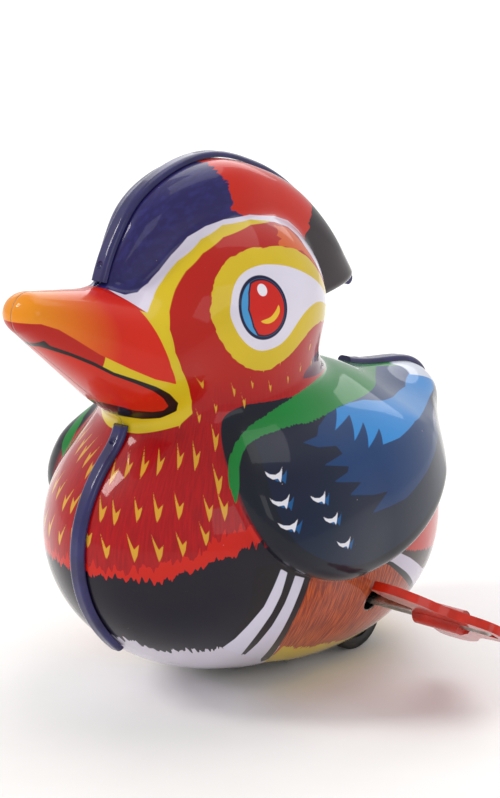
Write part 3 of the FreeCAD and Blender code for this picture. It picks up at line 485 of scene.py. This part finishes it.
def print_fields(p):
    """Distance to each printed area at each vertex, negative inside."""
    x, y, z = np.abs(p[:, 0]), p[:, 1], p[:, 2]
    s = CHART_RADIUS * np.arctan2(x, CHART_AXIS_Y - y)
    angle, rho = crest_polar(y, z)
    f = {"chart_s": s, "chart_z": z, "crest_angle": angle, "head_line": 64 - z}
    wing = wing_edge(y, z)
    wing = np.where(z > 62, FAR, wing)
    f["wing"] = wing
    body = {"red_band": RED_BAND, "black_belly": BLACK_BELLY, "white_belly": WHITE_BELLY,
            "stripe_1": STRIPE_1, "stripe_2": STRIPE_2, "stripe_black": STRIPE_BLACK,
            "flank": FLANK, "hem": YELLOW_HEM, "rear_red": REAR_RED, "rear_band": REAR_BAND,
            "rear_stripe": REAR_STRIPE, "rear_line": REAR_LINE, "green": rounded(GREEN, 3),
            "light_blue": LIGHT_BLUE, "royal_blue": ROYAL_BLUE, "tail_white": TAIL_WHITE}
    head = {"neck_shade": NECK_SHADE, "crest_zone": CREST_EDGE, "white_band": WHITE_BAND,
            "cheek": CHEEK_YELLOW, "upper_bill": UPPER_BILL, "lower_black": LOWER_BLACK,
            "lower_bill": LOWER_BILL, "orange_patch": ORANGE_PATCH, "ring": rounded(RING, 3),
            "eye_patch": rounded(EYE_PATCH, 3), "iris": IRIS_FRONT, "smile": rounded(EYE_SMILE, 4)}
    low, high = z < 68, z > 52
    for name, outline in body.items():
        f[name] = np.full(len(p), FAR)
        f[name][low] = outline_distance(s[low], z[low], outline)
    for name, outline in head.items():
        f[name] = np.full(len(p), FAR)
        f[name][high] = outline_distance(y[high], z[high], outline)
    f["eye"] = ellipse_distance(y, z, EYE_CENTRE, EYE_RADII)
    f["glint"] = ellipse_distance(y, z, EYE_GLINT, GLINT_RADII)
    f["ticks"] = tick_distance(s, z)
    f["birds"] = bird_distance(s, z)
    f["bird_shade"] = bird_distance(s, z, 0.9)
    f["beak_y"] = y
    return f


# ---------------------------------------------------------------- shader helpers
def linear(rgb):
    """Linear colour of a screen colour in 0..255."""
    out = [(c / 255 / 12.92) if c <= 10 else ((c / 255 + 0.055) / 1.055) ** 2.4 for c in rgb]
    return (*out, 1.0)


class Tree:
    """Short names for building a material's node tree."""

    def __init__(self, name):
        self.material = bpy.data.materials.new(name)
        self.material.use_nodes = True
        self.nodes = self.material.node_tree.nodes
        self.links = self.material.node_tree.links
        self.shader = self.nodes["Principled BSDF"]

    def put(self, socket, value):
        if isinstance(value, bpy.types.NodeSocket):
            self.links.new(value, socket)
        else:
            socket.default_value = value

    def math(self, op, *values):
        n = self.nodes.new("ShaderNodeMath")
        n.operation = op
        for socket, value in zip(n.inputs, values):
            self.put(socket, value)
        return n.outputs[0]

    def attribute(self, name):
        n = self.nodes.new("ShaderNodeAttribute")
        n.attribute_name = name
        return n.outputs["Fac"]

    def vector(self, x=0.0, y=0.0, z=0.0):
        n = self.nodes.new("ShaderNodeCombineXYZ")
        for socket, value in zip(n.inputs, (x, y, z)):
            self.put(socket, value)
        return n.outputs[0]

    def place(self, scale=(1000, 1000, 1000)):
        """Object position, in millimetres unless scaled otherwise."""
        c = self.nodes.new("ShaderNodeTexCoord")
        n = self.nodes.new("ShaderNodeVectorMath")
        n.operation = "MULTIPLY"
        self.links.new(c.outputs["Object"], n.inputs[0])
        n.inputs[1].default_value = scale
        return n.outputs[0]

    def noise(self, vector, scale=1.0, detail=2.0, rough=0.5):
        n = self.nodes.new("ShaderNodeTexNoise")
        self.links.new(vector, n.inputs["Vector"])
        n.inputs["Scale"].default_value = scale
        n.inputs["Detail"].default_value = detail
        n.inputs["Roughness"].default_value = rough
        return n.outputs["Fac"]

    def ramp(self, value, low, high):
        """0 below low, 1 above high."""
        n = self.nodes.new("ShaderNodeMapRange")
        n.clamp = True
        self.put(n.inputs["Value"], value)
        n.inputs["From Min"].default_value = low
        n.inputs["From Max"].default_value = high
        return n.outputs["Result"]

    def mix(self, factor, a, b):
        n = self.nodes.new("ShaderNodeMix")
        n.data_type = "RGBA"
        n.clamp_factor = True
        self.put(n.inputs[0], factor)
        for socket, value in ((n.inputs[6], a), (n.inputs[7], b)):
            self.put(socket, value)
        return n.outputs[2]

    def bump(self, height, strength, distance):
        n = self.nodes.new("ShaderNodeBump")
        n.inputs["Strength"].default_value = strength
        n.inputs["Distance"].default_value = distance
        self.links.new(height, n.inputs["Height"])
        self.links.new(n.outputs[0], self.shader.inputs["Normal"])

    def set(self, **values):
        for name, value in values.items():
            self.put(self.shader.inputs[name.replace("_", " ")], value)


def inside(tree, distance, soft=0.06):
    """1 where a distance is negative."""
    n = tree.nodes.new("ShaderNodeMapRange")
    n.clamp = True
    tree.put(n.inputs["Value"], distance)
    n.inputs["From Min"].default_value = soft
    n.inputs["From Max"].default_value = -soft
    return n.outputs["Result"]


# ---------------------------------------------------------------- materials
def lithograph():
    """Printed and varnished tinplate: flat inks one over another, with feathered edges."""
    t = Tree("lithographed_tin")
    a = t.attribute
    s, z = a("chart_s"), a("chart_z")
    place = t.place()
    hair = t.noise(t.vector(t.math("MULTIPLY", s, 1.15), t.math("MULTIPLY", z, 0.16)), 1.0, 1.0)
    hair = t.math("SUBTRACT", hair, 0.5)
    fine = t.noise(t.vector(t.math("MULTIPLY", s, 2.6), t.math("MULTIPLY", z, 0.22)), 1.0, 2.0)
    head_hair = t.noise(t.place((1300, 240, 700)), 1.0, 1.5)
    head_hair = t.math("SUBTRACT", head_hair, 0.5)
    angle = t.math("ADD", a("crest_angle"), t.math("MULTIPLY", head_hair, 9.0))

    def feathered(name, amount, strands=hair):
        return t.math("ADD", a(name), t.math("MULTIPLY", strands, amount))

    colour = t.mix(t.ramp(fine, 0.35, 0.72), linear((176, 10, 16)), linear((150, 6, 16)))
    colour = t.mix(inside(t, a("head_line"), 3.5), colour, linear((178, 22, 8)))

    def paint(distance, ink, soft=0.06):
        nonlocal colour
        ink = ink if isinstance(ink, bpy.types.NodeSocket) else linear(ink)
        colour = t.mix(inside(t, distance, soft), colour, ink)

    flank = t.mix(t.ramp(fine, 0.42, 0.56), linear((196, 84, 20)), linear((136, 44, 14)))
    paint(a("flank"), flank)
    paint(feathered("red_band", 6.0), (204, 26, 8))
    paint(a("white_belly"), (214, 208, 222))
    paint(feathered("black_belly", 5.0), (14, 13, 30))
    paint(feathered("hem", 2.5), (206, 176, 30))
    paint(a("stripe_black"), (14, 13, 22))
    paint(a("stripe_1"), (214, 210, 228))
    paint(a("stripe_2"), (214, 210, 228))
    paint(a("rear_red"), (196, 30, 12))
    paint(feathered("rear_band", 2.0), (48, 20, 16))
    paint(a("rear_line"), (14, 13, 22))
    paint(a("rear_stripe"), (214, 210, 228))
    # painted shade: the wing's raised rim, the 3.7 mm sloped side of the emboss whose downward ledge
    # lies in shadow, is painted near-black, darker than the wing ink inside it
    paint(a("wing"), (12, 20, 34))
    wing_ink = t.mix(t.ramp(z, 30.0, 56.0), linear((10, 30, 56)), linear((6, 18, 46)))
    paint(t.math("ADD", a("wing"), 3.7), wing_ink, 0.15)
    paint(feathered("green", 0.8), (16, 128, 52))
    paint(a("royal_blue"), (8, 54, 104))
    paint(a("light_blue"), (40, 134, 206))
    paint(a("tail_white"), (206, 212, 226))
    paint(a("bird_shade"), (14, 84, 140))
    paint(a("birds"), (226, 224, 232))
    paint(a("neck_shade"), (92, 26, 60))
    paint(a("ticks"), (214, 158, 44))
    paint(a("white_band"), (216, 208, 224))
    paint(a("cheek"), (214, 186, 30))
    tip = t.ramp(a("beak_y"), -47.0, -63.0)
    bill = t.mix(tip, linear((206, 34, 10)), linear((232, 142, 20)))
    paint(a("lower_black"), (16, 14, 16))
    paint(a("lower_bill"), (200, 36, 12))
    paint(a("upper_bill"), bill)
    paint(feathered("orange_patch", 1.5, head_hair), (214, 92, 20))
    paint(feathered("ring", 0.8, head_hair), (214, 184, 34))
    paint(a("eye_patch"), (222, 216, 230))
    paint(a("eye"), (16, 22, 60))
    eye_inner = t.math("ADD", a("eye"), 0.5)
    paint(eye_inner, (70, 150, 206))
    iris = t.math("MAXIMUM", a("iris"), eye_inner)
    paint(iris, (36, 20, 50))
    paint(t.math("ADD", iris, 0.3), (204, 32, 22))
    paint(a("smile"), (232, 190, 50))
    paint(a("glint"), (236, 232, 240))

    navy = t.mix(t.ramp(head_hair, -0.05, 0.2), linear((36, 31, 88)), linear((44, 41, 104)))
    crest_ink = t.mix(t.ramp(angle, 74.8, 75.4), navy, linear((200, 34, 14)))
    crest_ink = t.mix(t.ramp(angle, 127.6, 128.2), crest_ink, linear((30, 14, 24)))
    paint(a("crest_zone"), crest_ink)

    tone = t.noise(place, 0.06, 3.0)
    colour = t.mix(t.math("MULTIPLY", t.ramp(tone, 0.35, 0.75), 0.12), colour, linear((60, 30, 30)))
    scratch = t.noise(t.place((900, 260, 520)), 2.2, 3.0, 0.6)
    spots = t.noise(place, 0.55, 4.0, 0.65)
    chips = t.math("MULTIPLY", t.ramp(scratch, 0.735, 0.76), t.ramp(spots, 0.55, 0.6))
    colour = t.mix(chips, colour, linear((196, 178, 168)))
    t.set(Base_Color=colour, Roughness=t.math("ADD", 0.30, t.math("MULTIPLY", tone, 0.18)))
    t.set(Coat_Weight=1.0, Coat_Roughness=0.05, Coat_IOR=1.26, Specular_IOR_Level=0.12)
    t.bump(t.noise(place, 0.5, 2.0), 0.12, 0.0001)
    return t.material


def enamel(name, colour, worn, rough=0.3):
    """Glossy enamel over tin, a little worn."""
    t = Tree(name)
    place = t.place()
    tone = t.noise(place, 0.25, 3.0)
    chips = t.ramp(t.noise(place, 1.1, 5.0, 0.7), 0.70, 0.73)
    base = t.mix(t.ramp(tone, 0.3, 0.7), linear(colour), linear([c * 0.8 for c in colour]))
    t.set(Base_Color=t.mix(chips, base, linear(worn)),
          Roughness=t.math("ADD", rough, t.math("MULTIPLY", tone, 0.2)))
    t.set(Coat_Weight=1.0, Coat_Roughness=0.07, Coat_IOR=1.3, Specular_IOR_Level=0.2)
    t.bump(t.noise(place, 0.8, 3.0), 0.15, 0.0001)
    return t.material


def metal(name, colour, dull, rough, grain=(300, 300, 300)):
    """Bare metal with fine drawn or rolled lines and some tarnish."""
    t = Tree(name)
    place = t.place()
    stain = t.noise(place, 0.3, 4.0)
    lines = t.noise(t.place(grain), 6.0, 3.0)
    t.set(Base_Color=t.mix(t.ramp(stain, 0.4, 0.7), linear(colour), linear(dull)),
          Metallic=1.0, Roughness=t.math("ADD", rough, t.math("MULTIPLY", lines, 0.25)))
    t.bump(lines, 0.2, 0.00005)
    return t.material


def rubber():
    t = Tree("tyre_rubber")
    place = t.place()
    dust = t.noise(place, 0.4, 4.0)
    t.set(Base_Color=t.mix(t.ramp(dust, 0.45, 0.75), linear((24, 24, 25)), linear((58, 54, 50))),
          Roughness=t.math("ADD", 0.62, t.math("MULTIPLY", dust, 0.3)))
    t.bump(t.noise(place, 3.0, 3.0), 0.3, 0.0001)
    return t.material


LITHO = lithograph()
BARE = metal("bare_tin", (168, 166, 160), (120, 116, 108), 0.3)
FINISHES = {
    "strip_enamel": enamel("strip_enamel", (44, 40, 96), (96, 92, 110)),
    "key_enamel": enamel("key_enamel", (204, 34, 4), (150, 120, 100)),
    "plated_steel": metal("plated_steel", (196, 194, 190), (140, 136, 130), 0.16, (60, 900, 900)),
    "frame_tin": metal("frame_tin", (176, 173, 165), (128, 122, 112), 0.28, (900, 80, 900)),
    "spring_steel": metal("spring_steel", (70, 78, 104), (52, 52, 62), 0.25, (900, 120, 900)),
    "gear_brass": metal("gear_brass", (198, 160, 92), (140, 106, 58), 0.25, (200, 700, 700)),
    "wheel_tin": enamel("wheel_tin", (40, 40, 44), (110, 106, 100), 0.4),
    "tyre_rubber": rubber(),
}


# ---------------------------------------------------------------- pieces
def half_object(name, verts, quads, fields, node):
    mesh = bpy.data.meshes.new(name)
    mesh.from_pydata([], [], [])
    mesh.vertices.add(len(verts))
    mesh.vertices.foreach_set("co", (verts * MM).astype(np.float32).ravel())
    mesh.loops.add(quads.size)
    mesh.loops.foreach_set("vertex_index", quads.astype(np.int32).ravel())
    mesh.polygons.add(len(quads))
    mesh.polygons.foreach_set("loop_start", np.arange(0, quads.size, 4, dtype=np.int32))
    mesh.update(calc_edges=True)
    mesh.validate()
    mesh.shade_smooth()
    for key, values in fields.items():
        layer = mesh.attributes.new(key, "FLOAT", "POINT")
        layer.data.foreach_set("value", values.astype(np.float32))
    obj = bpy.data.objects.new(name, mesh)
    bpy.context.scene.collection.objects.link(obj)
    obj.data.materials.append(LITHO)
    obj.data.materials.append(BARE)
    wall = obj.modifiers.new("wall", "SOLIDIFY")
    wall.thickness = TIN * MM
    wall.offset = -1.0
    wall.material_offset = 1
    wall.material_offset_rim = 1
    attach(obj, "body")
    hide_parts(node)
    return obj


def body_halves():
    verts, quads = half_surface()
    verts, quads, _ = compact(verts, quads, {})
    fields = print_fields(verts)
    mirrored = verts * np.array([-1, 1, 1])
    half_object("printed_half_right", mirrored, quads[:, ::-1], fields, "body_shell_right")
    verts, quads = cut_out(verts, quads, key_hole_distance)
    verts, quads, fields = compact(verts, quads, fields)
    half_object("printed_half_left", verts, quads, fields, "body_shell_left")


def finish_cad_nodes():
    slots = {s["node"]: s["material_slot"] for s in frame["record"]["subparts"]}
    for name, obj in NODES.items():
        if slots[name] not in FINISHES:
            continue
        obj.data.materials.clear()
        obj.data.materials.append(FINISHES[slots[name]])


# ---------------------------------------------------------------- stage
def stage_material():
    t = Tree("pale_paper")
    n = t.noise(t.place(), 0.05, 3.0)
    t.set(Base_Color=t.mix(n, linear((250, 249, 247)), linear((244, 243, 241))), Roughness=0.85)
    return t.material


def floor():
    mesh = bpy.data.meshes.new("floor")
    r = 3.0
    mesh.from_pydata([(-r, -r, 0), (r, -r, 0), (r, r, 0), (-r, r, 0)], [], [(0, 1, 2, 3)])
    obj = bpy.data.objects.new("floor", mesh)
    obj.data.materials.append(stage_material())
    bpy.context.scene.collection.objects.link(obj)


def area_light(name, at, aim, size, watts, colour):
    data = bpy.data.lights.new(name, "AREA")
    data.shape = "RECTANGLE"
    data.size, data.size_y = size
    data.energy = watts
    data.color = colour
    obj = bpy.data.objects.new(name, data)
    obj.location = at
    direction = np.array(aim) - np.array(at)
    obj.rotation_euler = Vector(direction).to_track_quat("-Z", "Y").to_euler()
    bpy.context.scene.collection.objects.link(obj)


def sky(colour, strength):
    world = bpy.data.worlds.new("pale")
    bpy.context.scene.world = world
    world.use_nodes = True
    background = world.node_tree.nodes["Background"]
    background.inputs["Color"].default_value = (*colour, 1)
    background.inputs["Strength"].default_value = strength


def camera(azimuth, elevation, distance, target, lens, shift_y):
    a, e = math.radians(azimuth), math.radians(elevation)
    back = np.array([math.sin(a) * math.cos(e), -math.cos(a) * math.cos(e), math.sin(e)])
    data = bpy.data.cameras.new("camera")
    data.lens = lens
    data.sensor_width = 36
    data.shift_y = shift_y
    data.clip_start, data.clip_end = 0.01, 20
    obj = bpy.data.objects.new("camera", data)
    obj.location = np.array(target) + back * distance
    obj.rotation_euler = Vector(-back).to_track_quat("-Z", "Y").to_euler()
    bpy.context.scene.collection.objects.link(obj)
    bpy.context.scene.camera = obj


# name, place, aim, size, watts, colour
LIGHTS = (
    ("window", (-0.55, -0.75, 0.85), (0, 0, 0.05), (0.22, 0.34), 4.6, (1.0, 0.97, 0.93)),
    ("side_fill", (0.9, -0.35, 0.45), (0, 0, 0.05), (0.4, 0.4), 0.9, (0.97, 0.98, 1.0)),
    ("overhead", (0.1, 0.35, 1.1), (0, 0, 0.05), (0.7, 0.7), 2.6, (1.0, 1.0, 1.0)),
    ("far_floor", (-1.4, 1.6, 1.1), (-1.4, 1.6, 0), (2.4, 2.4), 26.0, (1.0, 1.0, 1.0)),
)
SKY_COLOUR, SKY_STRENGTH = (0.98, 0.985, 1.0), 0.72


def stage():
    floor()
    sky(SKY_COLOUR, SKY_STRENGTH)
    for light in LIGHTS:
        area_light(*light)
    camera(azimuth=42.0, elevation=14.0, distance=0.450, target=(0, 0, 0.0518), lens=99.0,
           shift_y=0.0263)
    bpy.context.scene.view_settings.view_transform = "Standard"


finish_cad_nodes()
body_halves()
stage()
